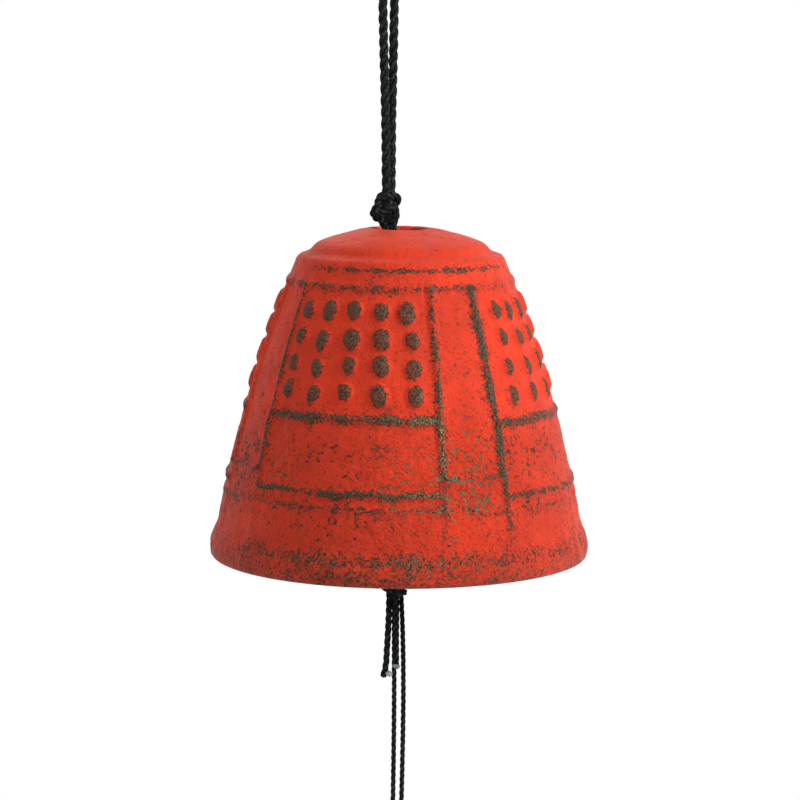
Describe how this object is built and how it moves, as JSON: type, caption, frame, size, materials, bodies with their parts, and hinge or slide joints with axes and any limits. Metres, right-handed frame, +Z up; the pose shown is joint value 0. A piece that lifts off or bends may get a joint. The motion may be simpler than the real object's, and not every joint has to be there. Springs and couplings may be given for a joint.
{
  "type": "furin wind bell",
  "caption": "Small cast iron wind bell of temple bell shape, red over worn metal, hung on a doubled cord with a disc clapper and a paper strip to catch the wind.",
  "frame": {"origin": "inside of the hanging loop, where a hook bears on the cord", "axes": "+Z up along the hanging cord, -Y towards the front, +X to the right"},
  "size_m": [0.0752, 0.0752, 0.2835],
  "materials": {
    "red_iron": "satin red paint worn to dark metal on the relief",
    "steel": "plain drawn wire",
    "dark_iron": "dull dark iron",
    "paper": "plain uncoated paper",
    "black_cord": "twisted cord"
  },
  "bodies": {
    "hanger": {"hanging_loop": "black_cord"},
    "knot": {"top_knot": "black_cord"},
    "bell": {"bell": "red_iron", "cross_bar": "steel", "neck_strands": "black_cord"},
    "line": {"line_knot": "black_cord"},
    "clapper": {"clapper_line": "black_cord", "clapper": "dark_iron", "lower_knot": "black_cord"},
    "threads": {"long_tail": "black_cord", "short_tail": "black_cord", "left_thread": "black_cord", "right_thread": "black_cord"},
    "sail": {"strip_knot": "black_cord", "strip_loop": "black_cord", "paper_strip": "paper"}
  },
  "joints": [
    {"name": "bell_turn", "type": "hinge", "parent": "hanger", "child": "knot", "pos_m": [0, 0, -0.042], "axis": [0, 0, 1], "range_deg": [-180, 180]},
    {"name": "bell_swing", "type": "hinge", "parent": "knot", "child": "bell", "pos_m": [0, 0, -0.0485], "axis": [1, 0, 0], "range_deg": [-20, 20]},
    {"name": "clapper_turn", "type": "hinge", "parent": "bell", "child": "line", "pos_m": [0.001, 0, -0.0561], "axis": [0, 0, 1], "range_deg": [-180, 180]},
    {"name": "clapper_swing", "type": "hinge", "parent": "line", "child": "clapper", "pos_m": [0.001, 0, -0.0621], "axis": [1, 0, 0], "range_deg": [-20.5, 20.5]},
    {"name": "sail_swing", "type": "hinge", "parent": "clapper", "child": "threads", "pos_m": [0.001, 0, -0.1232], "axis": [1, 0, 0], "range_deg": [-30, 30]},
    {"name": "strip_turn", "type": "hinge", "parent": "threads", "child": "sail", "pos_m": [0.0016, 0.0006, -0.1657], "axis": [0, 0, 1], "range_deg": [-180, 180]}
  ]
}
